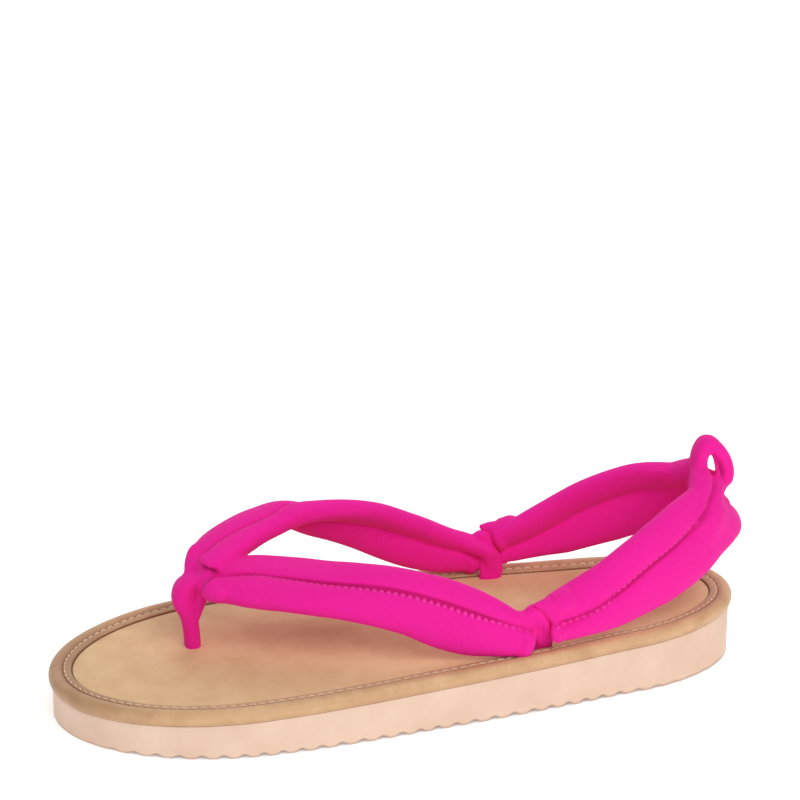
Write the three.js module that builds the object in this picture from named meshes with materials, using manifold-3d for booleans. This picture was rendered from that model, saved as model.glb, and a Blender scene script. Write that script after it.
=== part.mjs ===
// A padded thong sandal with a heel strap, left shoe, millimetres, +Z up.
// Toe points to -Y, heel to +Y, the outer (lateral) side of the foot is +X.
// The origin lies on the ground plane, under the middle of the sole's length.
import * as THREE from 'three';
import { mergeVertices } from 'three/addons/utils/BufferGeometryUtils.js';
import Module from 'manifold-3d';

const wasm = await Module();
wasm.setup();

// ---------------------------------------------------------------- driving dimensions
const soleLength = 250;
const ballWidth = 95.5;
const toeThickness = 11.0;       // foam sole at the toe tip
const heelThickness = 18.9;      // foam sole at the heel end
const instepRise = 45;           // highest strap seam above the footbed
const seat = 0.3;                // running gap between neighbouring pieces

const toeRoundLength = 70;       // plan: half-ellipse ahead of the ball
const heelRoundLength = 45;      // plan: rounded end behind the heel seat
const heelSquareness = 2.15;     // exponent of the heel's rounded end

const ripplePitch = 7;           // tread: arched notches across the underside
const rippleWidth = 3.2;
const rippleDepth = 1.1;
const outlinePoints = 88;        // corners of the sole's plan

const insoleThickness = 3.7;
const rimOverhang = 1.15;        // binding stands out past the foam's side
const rimWidth = 7;              // binding's inner edge, inside the foam's side

const rollHalfThickness = 4.5;   // every padded roll of the straps
const seamOverlap = 0.6;         // the two rolls of a strap are sewn into each other this far

const postSide = -10;            // toe post stands between first and second toe
const keeperAlong = 45.2;        // straps enter the sole here, on both sides
const keeperSide = 30.6;

const rollSides = 12;            // faces round a padded roll
const armStations = 22;          // rings along a front arm
const heelStations = 34;         // rings along the heel strap
const bandCount = 16;            // rings along the toe post and the heel loop

// ---------------------------------------------------------------- small tools
const radians = THREE.MathUtils.degToRad;
const lerp = THREE.MathUtils.lerp;
const vec = (x, y, z) => new THREE.Vector3(x, y, z);

// Smooth value of one column at row position t (0 is the first row, 1 the second).
function column(rows, name, t) {
  const last = rows.length - 1;
  const i = Math.min(Math.floor(t), last - 1);
  const at = (k) => rows[THREE.MathUtils.clamp(k, 0, last)][name];
  const f = t - i;
  const [a, b, c, d] = [at(i - 1), at(i), at(i + 1), at(i + 2)];
  return b + 0.5 * f * (c - a + f * (2 * a - 5 * b + 4 * c - d + f * (3 * (b - c) + d - a)));
}

// Value of a column where another, rising, column has the value x.
function lookUp(rows, key, name, x) {
  let i = 0;
  while (i < rows.length - 2 && rows[i + 1][key] < x) i += 1;
  const f = (x - rows[i][key]) / (rows[i + 1][key] - rows[i][key]);
  return column(rows, name, i + THREE.MathUtils.clamp(f, 0, 1));
}

function geometryFrom(points, triangles) {
  const geometry = new THREE.BufferGeometry();
  const flat = points.flatMap((p) => [p.x, p.y, p.z]);
  geometry.setAttribute('position', new THREE.Float32BufferAttribute(flat, 3));
  geometry.setIndex(triangles.flat());
  return geometry;
}

// Rings of equally many points, joined in order; closed ends get a fan each.
function loft(rings, closedLoop = false) {
  const count = rings[0].length;
  const points = rings.flat();
  const triangles = [];
  const steps = closedLoop ? rings.length : rings.length - 1;
  for (let r = 0; r < steps; r += 1) {
    const a = r * count;
    const b = ((r + 1) % rings.length) * count;
    for (let k = 0; k < count; k += 1) {
      const n = (k + 1) % count;
      triangles.push([a + k, b + n, a + n], [a + k, b + k, b + n]);
    }
  }
  if (!closedLoop) {
    const fan = (ring, start, flip) => {
      const middle = ring.reduce((sum, p) => sum.add(p), vec(0, 0, 0)).divideScalar(count);
      const hub = points.push(middle) - 1;
      for (let k = 0; k < count; k += 1) {
        const n = (k + 1) % count;
        triangles.push(flip ? [hub, start + n, start + k] : [hub, start + k, start + n]);
      }
    };
    fan(rings[0], 0, false);
    fan(rings.at(-1), (rings.length - 1) * count, true);
  }
  return geometryFrom(points, triangles);
}

function volumeOf(geometry) {
  const p = geometry.attributes.position;
  const index = geometry.index.array;
  const corner = [vec(0, 0, 0), vec(0, 0, 0), vec(0, 0, 0)];
  let sum = 0;
  for (let i = 0; i < index.length; i += 3) {
    corner.forEach((c, k) => c.fromBufferAttribute(p, index[i + k]));
    sum += corner[0].dot(corner[1].cross(corner[2])) / 6;
  }
  return sum;
}

function solid(geometry) {
  const bare = geometry.clone();
  bare.deleteAttribute('normal');
  bare.deleteAttribute('uv');
  const merged = mergeVertices(bare, 1e-4);
  const triVerts = Uint32Array.from(merged.index.array);
  if (volumeOf(merged) < 0) {
    for (let i = 0; i < triVerts.length; i += 3) {
      [triVerts[i + 1], triVerts[i + 2]] = [triVerts[i + 2], triVerts[i + 1]];
    }
  }
  const vertProperties = Float32Array.from(merged.attributes.position.array);
  return new wasm.Manifold(new wasm.Mesh({ numProp: 3, vertProperties, triVerts }));
}

function meshFrom(name, body, look) {
  const { vertProperties, triVerts } = body.getMesh();
  const geometry = new THREE.BufferGeometry();
  geometry.setAttribute('position', new THREE.BufferAttribute(vertProperties, 3));
  geometry.setIndex(new THREE.BufferAttribute(triVerts, 1));
  geometry.computeVertexNormals();
  const mesh = new THREE.Mesh(geometry, new THREE.MeshStandardMaterial(look));
  mesh.name = name;
  return mesh;
}

const joined = (bodies) => bodies.reduce((a, b) => a.add(b));
const without = (body, cutters) => cutters.reduce((a, b) => a.subtract(b), body);

// ---------------------------------------------------------------- sole: plan and heights
const soleTop = (along) => lerp(toeThickness, heelThickness, along / soleLength + 0.5);
const footbed = (along) => soleTop(along) + seat + insoleThickness;

// Half width of the sole before its two ends are rounded off.
const widthRows = [
  { along: -55, half: ballWidth / 2 },
  { along: -35, half: ballWidth * 0.494 },
  { along: 0, half: ballWidth * 0.462 },
  { along: 40, half: ballWidth * 0.417 },
  { along: 80, half: ballWidth * 0.357 },
  { along: 125, half: ballWidth * 0.31 },
];

function halfWidth(along) {
  const straight = lookUp(widthRows, 'along', 'half', along);
  const toe = (toeRoundLength - (along + soleLength / 2)) / toeRoundLength;
  const heel = (along - (soleLength / 2 - heelRoundLength)) / heelRoundLength;
  if (toe > 0) return straight * Math.sqrt(Math.max(0, 1 - toe ** 2));
  if (heel > 0) return straight * Math.max(0, 1 - heel ** heelSquareness) ** (1 / heelSquareness);
  return straight;
}

// The sole's plan as a ring of points, each moved inwards by the inset.
function planRing(inset) {
  const edge = (turn) => {
    const along = -soleLength / 2 * Math.cos(turn);
    return new THREE.Vector2(Math.sign(Math.sin(turn)) * halfWidth(along), along);
  };
  const step = 2 * Math.PI / outlinePoints;
  const nudge = step / 10;
  return Array.from({ length: outlinePoints }, (_, k) => {
    const turn = (k + 0.5) * step;
    const tangent = edge(turn + nudge).sub(edge(turn - nudge)).normalize();
    return edge(turn).add(new THREE.Vector2(-tangent.y, tangent.x).multiplyScalar(inset));
  });
}

// A plate with the sole's plan between two heights, each a function of the place along.
function plate(inset, low, high) {
  const ring = planRing(inset);
  const rings = [low, high].map((height) => ring.map((p) => vec(p.x, p.y, height(p.y))));
  return loft(rings);
}

// A straight bar along X with the given side view (along, up).
function barAcross(shape, halfLength) {
  const geometry = new THREE.ExtrudeGeometry(shape, {
    depth: 2 * halfLength, bevelEnabled: false, curveSegments: 4,
  });
  // the shape's x and y become the part's y and z, its depth becomes x
  geometry.applyMatrix4(new THREE.Matrix4().makeBasis(vec(0, 1, 0), vec(0, 0, 1), vec(1, 0, 0)));
  geometry.translate(-halfLength, 0, 0);
  return geometry;
}

function outsoleProfile() {
  const shape = new THREE.Shape();
  const half = soleLength / 2 + 2;
  shape.moveTo(-half, 0);
  const notches = Math.floor(half / ripplePitch);
  for (let k = -notches; k < notches; k += 1) {
    const middle = (k + 0.5) * ripplePitch;
    shape.lineTo(middle - rippleWidth / 2, 0);
    shape.quadraticCurveTo(middle, 2 * rippleDepth, middle + rippleWidth / 2, 0);
  }
  shape.lineTo(half, 0);
  shape.lineTo(half, soleTop(half));
  shape.lineTo(-half, soleTop(-half));
  return shape;
}

// ---------------------------------------------------------------- straps: rolls on the last
// Each strap is two padded rolls side by side, sewn together along a seam. A row is a place on
// the seam: along in % of the sole's length from its middle, side in % of half the ball width,
// rise in % of the instep rise above the footbed, lean = how far the strap's face looks up from
// level in degrees, fold = how much each roll turns from that round the foot; inner and outer
// are the half widths of the rolls above and below the seam.
const outerArmRows = [
  { along: -26.6, side: -8, rise: 59, lean: 66, fold: 10, inner: 4.4, outer: 4.6 },
  { along: -21.6, side: 3, rise: 63, lean: 66, fold: 16, inner: 5.8, outer: 5.6 },
  { along: -16.1, side: 18, rise: 62, lean: 64, fold: 16, inner: 6.2, outer: 6.0 },
  { along: -12.0, side: 29, rise: 60.5, lean: 58, fold: 16, inner: 6.2, outer: 6.3 },
  { along: -7.9, side: 39, rise: 59.5, lean: 48, fold: 16, inner: 6.0, outer: 6.7 },
  { along: -3.7, side: 48, rise: 57, lean: 38, fold: 16, inner: 5.8, outer: 7.2 },
  { along: -0.2, side: 55, rise: 52.5, lean: 30, fold: 16, inner: 5.6, outer: 7.7 },
  { along: 4.2, side: 62, rise: 44, lean: 25, fold: 16, inner: 5.3, outer: 7.9 },
  { along: 8.3, side: 68, rise: 35, lean: 20, fold: 15, inner: 4.8, outer: 7.3 },
  { along: 11.9, side: 71.5, rise: 28, lean: 16, fold: 12, inner: 3.9, outer: 6.3 },
  { along: 15.7, side: 73.5, rise: 22.5, lean: 14, fold: 8, inner: 3.2, outer: 5.2 },
];
const innerArmRows = [
  { along: -27.6, side: -22.5, rise: 67, lean: 76, fold: 10, inner: 4.4, outer: 6.2 },
  { along: -25.6, side: -27, rise: 75, lean: 88, fold: 12, inner: 5.2, outer: 6.8 },
  { along: -21.8, side: -35.5, rise: 82, lean: 93, fold: 14, inner: 5.9, outer: 6.6 },
  { along: -17.4, side: -44, rise: 85, lean: 82, fold: 15, inner: 6.2, outer: 6.4 },
  { along: -13.2, side: -52, rise: 85, lean: 64, fold: 16, inner: 6.2, outer: 6.4 },
  { along: -8.0, side: -60, rise: 79, lean: 46, fold: 16, inner: 6.0, outer: 6.8 },
  { along: -2.0, side: -66, rise: 67, lean: 33, fold: 16, inner: 5.8, outer: 7.3 },
  { along: 4.0, side: -70, rise: 51, lean: 25, fold: 16, inner: 5.3, outer: 7.6 },
  { along: 10.0, side: -72.5, rise: 33.5, lean: 18, fold: 13, inner: 4.5, outer: 6.8 },
  { along: 15.7, side: -73.5, rise: 22.5, lean: 14, fold: 8, inner: 3.2, outer: 5.2 },
];
const heelHalfRows = [
  { along: 18.3, side: 71.5, rise: 16.5, lean: 12, fold: 16, inner: 4.8, outer: 4.2 },
  { along: 20.6, side: 72, rise: 21.5, lean: 12, fold: 16, inner: 5.5, outer: 4.7 },
  { along: 24.0, side: 72, rise: 29, lean: 12, fold: 16, inner: 6.2, outer: 5.4 },
  { along: 28.0, side: 70, rise: 39, lean: 12, fold: 15, inner: 6.6, outer: 6.6 },
  { along: 33.2, side: 63, rise: 55, lean: 15, fold: 12, inner: 6.8, outer: 7.8 },
  { along: 37.1, side: 55, rise: 64.5, lean: 18, fold: 9, inner: 6.8, outer: 8.6 },
  { along: 40.5, side: 45, rise: 73, lean: 22, fold: 8, inner: 6.4, outer: 9.0 },
  { along: 44.1, side: 31, rise: 80.5, lean: 27, fold: 11, inner: 5.6, outer: 9.5 },
  { along: 47.7, side: 14, rise: 83, lean: 26, fold: 8, inner: 4.6, outer: 9.6 },
];
const heelBackRow = { along: 48.7, side: 0, rise: 81, lean: 26, fold: 8, inner: 4.0, outer: 9.6 };

const placeOf = ({ along, side, rise }) => {
  const y = along / 100 * soleLength;
  return vec(side / 100 * ballWidth / 2, y, footbed(y) + rise / 100 * instepRise);
};

// Stations of both rolls of a strap. Outwards is 1 where the foot lies left of the travel.
function strapRolls(rows, count, outwards) {
  const curve = new THREE.CatmullRomCurve3(rows.map(placeOf), false, 'centripetal');
  const rolls = { inner: [], outer: [] };
  for (let k = 0; k < count; k += 1) {
    const t = curve.getUtoTmapping(k / (count - 1));
    const row = t * (rows.length - 1);
    const travel = curve.getTangent(t);
    const level = vec(travel.y, -travel.x, 0).normalize().multiplyScalar(outwards);
    for (const [name, way] of [['inner', -1], ['outer', 1]]) {
      const lean = radians(column(rows, 'lean', row) - way * column(rows, 'fold', row));
      const normal = level.clone().multiplyScalar(Math.cos(lean)).add(vec(0, 0, Math.sin(lean)));
      normal.addScaledVector(travel, -normal.dot(travel)).normalize();
      const across = vec(0, 0, 0).crossVectors(travel, normal).multiplyScalar(outwards);
      const halfWidth = column(rows, name, row);
      const place = curve.getPoint(t).addScaledVector(across, way * (halfWidth - seamOverlap));
      rolls[name].push({ place, normal, halfWidth, halfThickness: rollHalfThickness });
    }
  }
  return rolls;
}

// Fills in the way of travel, and the way across, at each station of a roll.
function aimed(stations) {
  const last = stations.length - 1;
  return stations.map((s, k) => {
    const travel = stations[Math.min(k + 1, last)].place.clone()
      .sub(stations[Math.max(k - 1, 0)].place).normalize();
    const normal = s.normal.clone().addScaledVector(travel, -s.normal.dot(travel)).normalize();
    return { ...s, travel, normal, across: vec(0, 0, 0).crossVectors(travel, normal) };
  });
}

// A padded roll through its stations; both ends are rounded over the given lengths.
function roll(bareStations, { roundStart, roundEnd, grow = 0 }) {
  const stations = aimed(bareStations);
  const ringAt = (s, scale, shift) => Array.from({ length: rollSides }, (_, k) => {
    const turn = (k + 0.5) / rollSides * 2 * Math.PI;
    return s.place.clone()
      .addScaledVector(s.travel, shift)
      .addScaledVector(s.across, Math.cos(turn) * (s.halfWidth * scale + grow))
      .addScaledVector(s.normal, Math.sin(turn) * (s.halfThickness * scale + grow));
  });
  const capTurns = [70, 40].map(radians);
  const cap = (s, way, length) => capTurns.map(
    (turn) => ringAt(s, Math.cos(turn), way * Math.sin(turn) * (length + grow)),
  );
  return solid(loft([
    ...cap(stations[0], -1, roundStart),
    ...stations.map((s) => ringAt(s, 1, 0)),
    ...cap(stations.at(-1), 1, roundEnd).reverse(),
  ]));
}

// The strap end that turns down behind the arm and enters the sole beside the footbed.
function keeperStations(side) {
  const out = vec(Math.sign(side), 0, 0);
  return [
    { along: keeperAlong - 3.6, rise: 11.4, in: 0.6, halfWidth: 3.6, halfThickness: 4.2 },
    { along: keeperAlong - 1.0, rise: 8.4, in: 0.2, halfWidth: 3.5, halfThickness: 3.8 },
    { along: keeperAlong, rise: 4.5, in: 0, halfWidth: 3.4, halfThickness: 3.2 },
    { along: keeperAlong, rise: seat - insoleThickness, in: 0, halfWidth: 3.0, halfThickness: 2.4 },
  ].map(({ along, rise, in: inwards, halfWidth, halfThickness }) => ({
    place: vec(side - Math.sign(side) * inwards, along, footbed(along) + rise),
    normal: out, halfWidth, halfThickness,
  }));
}

// ---------------------------------------------------------------- toe post and heel loop
// Both run in an upright plane along the foot: along in mm from the sole's middle, rise in mm
// above the footbed, facing = direction of the band's outer face, degrees up from level-forward.
const postRows = [
  { along: -73.5, rise: -9.5, facing: 0, half: 3.8, thick: 2.6 },
  { along: -73.5, rise: 3, facing: 0, half: 4.0, thick: 2.8 },
  { along: -74.6, rise: 12, facing: 2, half: 4.2, thick: 3.2 },
  { along: -76.0, rise: 18.5, facing: 8, half: 4.5, thick: 3.7 },
  { along: -75.4, rise: 23.6, facing: 50, half: 4.7, thick: 3.6 },
  { along: -72.0, rise: 26.4, facing: 80, half: 4.7, thick: 3.0 },
  { along: -68.2, rise: 27.4, facing: 95, half: 4.5, thick: 2.2 },
];
const loopRows = [
  { along: 112.0, rise: 36, facing: 165, half: 4.2, thick: 2.7 },
  { along: 112.4, rise: 44.5, facing: 172, half: 4.4, thick: 2.5 },
  { along: 112.6, rise: 50.8, facing: 165, half: 4.4, thick: 2.5 },
  { along: 113.8, rise: 55.2, facing: 140, half: 4.4, thick: 2.6 },
  { along: 116.4, rise: 57.0, facing: 88, half: 4.4, thick: 2.6 },
  { along: 119.2, rise: 55.2, facing: 50, half: 4.4, thick: 2.6 },
  { along: 121.6, rise: 50.4, facing: 25, half: 4.4, thick: 2.6 },
  { along: 123.2, rise: 44, facing: 8, half: 4.2, thick: 2.7 },
  { along: 122.6, rise: 37, facing: -12, half: 3.6, thick: 2.6 },
];

function bandStations(rows, side, forward) {
  const places = rows.map(({ along, rise }) => vec(side, along, footbed(along) + rise));
  const curve = new THREE.CatmullRomCurve3(places, false, 'centripetal');
  return Array.from({ length: bandCount }, (_, k) => {
    const t = curve.getUtoTmapping(k / (bandCount - 1));
    const row = t * (rows.length - 1);
    const facing = radians(column(rows, 'facing', row));
    return {
      place: curve.getPoint(t),
      normal: vec(0, forward * Math.cos(facing), Math.sin(facing)),
      halfWidth: column(rows, 'half', row),
      halfThickness: column(rows, 'thick', row),
    };
  });
}

// Section of the rim binding: in = inwards from the foam's side, up = above the foam's top.
const rimSection = [
  { in: 0.3, up: 0 }, { in: -0.8, up: 1.0 }, { in: -rimOverhang, up: 2.5 }, { in: -0.8, up: 4.0 },
  { in: 0.4, up: 5.1 }, { in: 2.0, up: 5.5 }, { in: 3.5, up: 5.1 }, { in: 4.6, up: 4.4 },
  { in: 5.8, up: 4.8 }, { in: rimWidth, up: 4.3 }, { in: rimWidth, up: 0 },
];
function rimRing(raised = 0) {
  const rings = rimSection.map((corner) => planRing(corner.in).map(
    (p) => vec(p.x, p.y, soleTop(p.y) + seat + raised + corner.up),
  ));
  return solid(loft(rings, true));
}

// ---------------------------------------------------------------- the pieces
const postEnds = { roundStart: 0.5, roundEnd: 2 };
const postStations = bandStations(postRows, postSide, -1);
const toePost = roll(postStations, postEnds);
const postClearance = roll(postStations, { ...postEnds, grow: seat });

// Each arm has an outer roll that ends on the rim, and an inner one that goes on into the sole.
const arms = [[outerArmRows, 1], [innerArmRows, -1]].map(([rows, way]) => {
  const { inner, outer } = strapRolls(rows, armStations, way);
  return { through: [...inner.slice(0, -1), ...keeperStations(way * keeperSide)], outer };
});
const throughEnds = { roundStart: 3.5, roundEnd: 0.2 };
const outerEnds = { roundStart: 3.5, roundEnd: 1.5 };
const frontStrap = without(
  joined(arms.flatMap(({ through, outer }) => [roll(through, throughEnds), roll(outer, outerEnds)])),
  [postClearance, rimRing(seat)],
);
const armClearance = arms.map(({ through }) => roll(through, { ...throughEnds, grow: seat }));

const mirrored = (row) => ({ ...row, side: -row.side });
const heelRows = [...heelHalfRows, heelBackRow, ...heelHalfRows.map(mirrored).reverse()];
const heelRolls = Object.values(strapRolls(heelRows, heelStations, 1));
const heelEnds = { roundStart: 1.5, roundEnd: 1.5 };
const heelStrap = without(
  joined(heelRolls.map((stations) => roll(stations, heelEnds))),
  [...armClearance, rimRing(seat)],
);
const heelClearance = heelRolls.map((stations) => roll(stations, { ...heelEnds, grow: seat }));
const loopEnds = { roundStart: 2, roundEnd: 2 };
const heelLoop = without(roll(bandStations(loopRows, 0, 1), loopEnds), heelClearance);

const spare = 5;                 // the cutting shape stands this far past the foam
const outsoleBar = solid(barAcross(outsoleProfile(), ballWidth));
const outsolePlan = solid(plate(0, () => -spare, () => heelThickness + spare));
const outsole = without(outsoleBar.intersect(outsolePlan), [postClearance]);

const insolePlate = solid(plate(rimWidth + seat, (along) => soleTop(along) + seat, footbed));
const insole = without(insolePlate, [postClearance, ...armClearance]);
const rim = without(rimRing(), armClearance);

// ---------------------------------------------------------------- scene graph
const looks = {
  foam: { color: 0xf1d1bb, roughness: 0.75, metalness: 0 },
  binding: { color: 0xc8a578, roughness: 0.65, metalness: 0 },
  footbed: { color: 0xdeb88a, roughness: 0.7, metalness: 0 },
  strap: { color: 0xee269b, roughness: 0.85, metalness: 0 },
};
const group = new THREE.Group();
group.add(
  meshFrom('outsole', outsole, looks.foam),
  meshFrom('rim_binding', rim, looks.binding),
  meshFrom('insole', insole, looks.footbed),
  meshFrom('front_strap', frontStrap, looks.strap),
  meshFrom('toe_post', toePost, looks.strap),
  meshFrom('heel_strap', heelStrap, looks.strap),
  meshFrom('heel_loop', heelLoop, looks.strap),
);
export default group;
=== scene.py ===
"""Looks of a padded thong sandal, left shoe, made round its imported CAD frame.

The shapes are worked out in millimetres, with the toe at -Y, the heel at +Y, the outer side of
the foot at +X and the ground at z = 0, and become metres where a mesh is made.
"""

import math

import bpy
import numpy as np
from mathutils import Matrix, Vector


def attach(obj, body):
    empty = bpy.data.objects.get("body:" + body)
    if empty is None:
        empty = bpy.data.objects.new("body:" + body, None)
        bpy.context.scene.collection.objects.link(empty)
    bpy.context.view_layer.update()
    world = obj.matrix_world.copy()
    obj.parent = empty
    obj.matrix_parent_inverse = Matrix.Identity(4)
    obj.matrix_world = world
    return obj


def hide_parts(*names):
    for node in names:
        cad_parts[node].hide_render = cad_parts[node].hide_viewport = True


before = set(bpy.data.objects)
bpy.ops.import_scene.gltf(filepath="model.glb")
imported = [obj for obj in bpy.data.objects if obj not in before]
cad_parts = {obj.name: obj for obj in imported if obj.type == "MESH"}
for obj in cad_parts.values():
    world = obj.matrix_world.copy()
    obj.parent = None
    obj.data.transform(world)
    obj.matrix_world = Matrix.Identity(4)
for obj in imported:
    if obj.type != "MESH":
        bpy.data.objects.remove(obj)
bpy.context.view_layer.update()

MM = 0.001
PI = math.pi

# ---- driving sizes
SOLE_LENGTH = 250.0
BALL_WIDTH = 95.5
TOE_THICKNESS = 11.0
HEEL_THICKNESS = 18.9
INSTEP_RISE = 45.0
SEAT = 0.3
TOE_ROUND = 70.0
HEEL_ROUND = 45.0
HEEL_SQUARENESS = 2.15
RIPPLE_PITCH = 7.0
RIPPLE_WIDTH = 5.6
RIPPLE_DEPTH = 0.95
INSOLE_THICKNESS = 3.7
RIM_WIDTH = 7.0
ROLL_THICKNESS = 4.5
SEAM_OVERLAP = 0.6
POST_SIDE = -10.0
KEEPER_ALONG = 45.2
KEEPER_SIDE = 30.6
STITCH_PITCH = 2.5          # seam of the straps
BEAD_HALF = 0.4             # half length of the bead in each stitch, as a share of the pitch
BINDING_STITCH = 3.5        # stitch line of the binding
SKIN = 0.5                  # size of the faces of the straps' fabric

UP = np.array([0.0, 0.0, 1.0])


def table(heading, *rows):
    """Rows of values, each named by the heading of its column."""
    names = heading.split()
    return [dict(zip(names, row)) for row in rows]


# Half width of the sole before its two ends are rounded off, as a share of the ball's width.
WIDTH_SHARES = [(-55, 0.5), (-35, 0.494), (0, 0.462), (40, 0.417), (80, 0.357), (125, 0.31)]
WIDTH_ROWS = table("along half", *((along, BALL_WIDTH * share) for along, share in WIDTH_SHARES))

# The straps' seams. along: % of the sole's length from its middle. side: % of half the ball
# width. rise: % of the instep rise above the footbed. lean: degrees that the strap's face looks
# up. fold: degrees that each roll turns from that round the foot. inner, outer: half widths of
# the rolls above and below the seam, mm.
OUTER_ARM = table(
    "along side rise lean fold inner outer",
    (-26.6, -8, 59, 66, 10, 5.0, 4.2),
    (-21.6, 3, 63, 66, 16, 7.0, 6.1),
    (-16.1, 18, 62, 64, 16, 7.3, 6.2),
    (-12.0, 29, 60.5, 58, 16, 6.9, 6.1),
    (-7.9, 39, 60.5, 48, 16, 6.0, 6.6),
    (-3.7, 48, 59, 38, 16, 5.3, 7.4),
    (-0.2, 55, 55.5, 30, 16, 5.1, 8.0),
    (4.2, 62, 47.5, 25, 16, 5.1, 8.8),
    (8.3, 68, 38.5, 20, 15, 4.7, 8.5),
    (11.9, 71.5, 30.5, 16, 12, 3.8, 7.2),
    (15.7, 73.5, 22.5, 14, 8, 2.4, 5.7),
)
INNER_ARM = table(
    "along side rise lean fold inner outer",
    (-27.6, -22.5, 67, 76, 10, 4.2, 7.8),
    (-25.6, -27, 76, 88, 12, 5.1, 6.8),
    (-21.8, -35.5, 82.2, 96, 14, 4.4, 6.7),
    (-17.4, -44, 86.4, 95, 15, 4.0, 7.2),
    (-13.2, -52, 90, 82, 16, 4.4, 7.6),
    (-8.0, -60, 81, 46, 16, 5.0, 7.0),
    (-2.0, -66, 68, 33, 16, 5.8, 7.3),
    (4.0, -70, 51, 25, 16, 5.3, 7.6),
    (10.0, -72.5, 33.5, 18, 13, 4.5, 6.8),
    (15.7, -73.5, 22.5, 14, 8, 3.2, 5.2),
)
HEEL_HALF = table(
    "along side rise lean fold inner outer",
    (18.9, 72, 23, 12, 16, 5.0, 3.8),
    (20.8, 72, 25.5, 12, 16, 6.1, 4.5),
    (24.0, 72, 30.3, 12, 16, 6.8, 5.4),
    (28.0, 70, 40.5, 12, 15, 6.7, 7.5),
    (33.2, 63, 56.5, 15, 12, 6.6, 9.5),
    (37.1, 55, 66, 18, 9, 6.6, 9.9),
    (40.5, 45, 74, 22, 8, 6.4, 10.1),
    (44.1, 31, 81, 27, 11, 5.6, 9.7),
    (47.7, 14, 83, 26, 8, 4.6, 9.1),
    (48.7, 0, 81, 26, 8, 4.0, 9.1),
)

# Bands in an upright plane along the foot. along: mm from the sole's middle. rise: mm above the
# footbed. facing: degrees that the outer face looks up from level. half, thick: half sizes, mm.
POST_BAND = table(
    "along rise facing half thick",
    (-73.5, -9.5, 0, 3.8, 2.6),
    (-73.5, 3, 0, 4.0, 2.8),
    (-74.6, 12, 2, 4.2, 3.2),
    (-76.6, 18.5, 8, 4.5, 3.8),
    (-76.0, 22.8, 50, 4.7, 3.2),
    (-72.0, 25.4, 80, 4.7, 2.6),
    (-68.2, 26.8, 95, 4.5, 2.2),
)
POST_FOLD = table(
    "along rise facing half thick",
    (-72.8, 9, 0, 2.6, 1.2),
    (-71.8, 14, 0, 3.6, 1.9),
    (-70.4, 19.5, 4, 4.4, 2.6),
    (-69.6, 24.5, 20, 4.8, 3.0),
    (-67.6, 28.5, 60, 4.6, 2.6),
)
LOOP_BAND = table(
    "along rise facing half thick",
    (112.0, 36, 165, 4.2, 2.7),
    (112.6, 44.5, 172, 4.4, 3.1),
    (112.7, 50.6, 165, 4.4, 3.0),
    (113.7, 54.4, 140, 4.4, 3.1),
    (116.0, 56.4, 88, 4.4, 3.3),
    (118.7, 54.7, 48, 4.4, 2.9),
    (121.8, 50.5, 28, 4.4, 2.7),
    (123.2, 44, 8, 4.3, 2.8),
    (121.6, 37, -20, 3.6, 2.4),
)


# ---- curves
def unit(v):
    """Rows of v, each at length 1."""
    return v / np.maximum(np.linalg.norm(v, axis=-1, keepdims=True), 1e-12)


def smooth_at(rows, t):
    """Numbers or places at the row positions t (0 is the first row), smooth between the rows."""
    rows = np.asarray(rows, float)
    t = np.asarray(t, float)
    last = len(rows) - 1
    i = np.clip(np.floor(t).astype(int), 0, last - 1)
    f = t - i
    if rows.ndim > 1:
        f = f[:, None]
    a, b, c, d = (rows[np.clip(i + k, 0, last)] for k in (-1, 0, 1, 2))
    return b + 0.5 * f * (c - a + f * (2 * a - 5 * b + 4 * c - d + f * (3 * (b - c) + d - a)))


def values(rows, name):
    """A column of rows."""
    return np.array([row[name] for row in rows], float)


def column(rows, name, t):
    """A column of rows, smooth between them, at the row positions t."""
    return smooth_at(values(rows, name), t)


def curve_at(points, t):
    """A centripetal Catmull-Rom curve through the points, at the row positions t."""
    points = np.asarray(points, float)
    ends = np.vstack([2 * points[0] - points[1], points, 2 * points[-1] - points[-2]])
    i = np.clip(np.floor(t).astype(int), 0, len(points) - 2)
    f = (t - i)[:, None]
    p = [ends[i + k] for k in range(4)]
    gap = [np.linalg.norm(p[k + 1] - p[k], axis=1, keepdims=True) ** 0.5 for k in range(3)]

    def slope(k):
        both = gap[k] + gap[k + 1]
        return gap[1] * ((p[k + 1] - p[k]) / gap[k] - (p[k + 2] - p[k]) / both
                         + (p[k + 2] - p[k + 1]) / gap[k + 1])
    start, end = slope(0), slope(1)
    rise = p[2] - p[1]
    return p[1] + f * (start + f * (3 * rise - 2 * start - end + f * (start + end - 2 * rise)))


def even_positions(points, count):
    """Row positions that divide the curve through the points into equal lengths."""
    t = np.linspace(0, len(points) - 1, 2001)
    steps = np.linalg.norm(np.diff(curve_at(points, t), axis=0), axis=1)
    length = np.concatenate([[0], np.cumsum(steps)])
    return np.interp(np.linspace(0, length[-1], count), length, t), length[-1]


# ---- sole: plan and heights
def sole_top(along):
    return TOE_THICKNESS + (HEEL_THICKNESS - TOE_THICKNESS) * (along / SOLE_LENGTH + 0.5)


def footbed(along):
    return sole_top(along) + SEAT + INSOLE_THICKNESS


def half_width(along):
    rows = values(WIDTH_ROWS, "along")
    straight = column(WIDTH_ROWS, "half", np.interp(along, rows, np.arange(len(rows))))
    toe = np.clip((TOE_ROUND - (along + SOLE_LENGTH / 2)) / TOE_ROUND, 0, 1)
    heel = np.clip((along - (SOLE_LENGTH / 2 - HEEL_ROUND)) / HEEL_ROUND, 0, 1)
    q = HEEL_SQUARENESS
    return straight * np.sqrt(1 - toe ** 2) * (1 - heel ** q) ** (1 / q)


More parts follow.
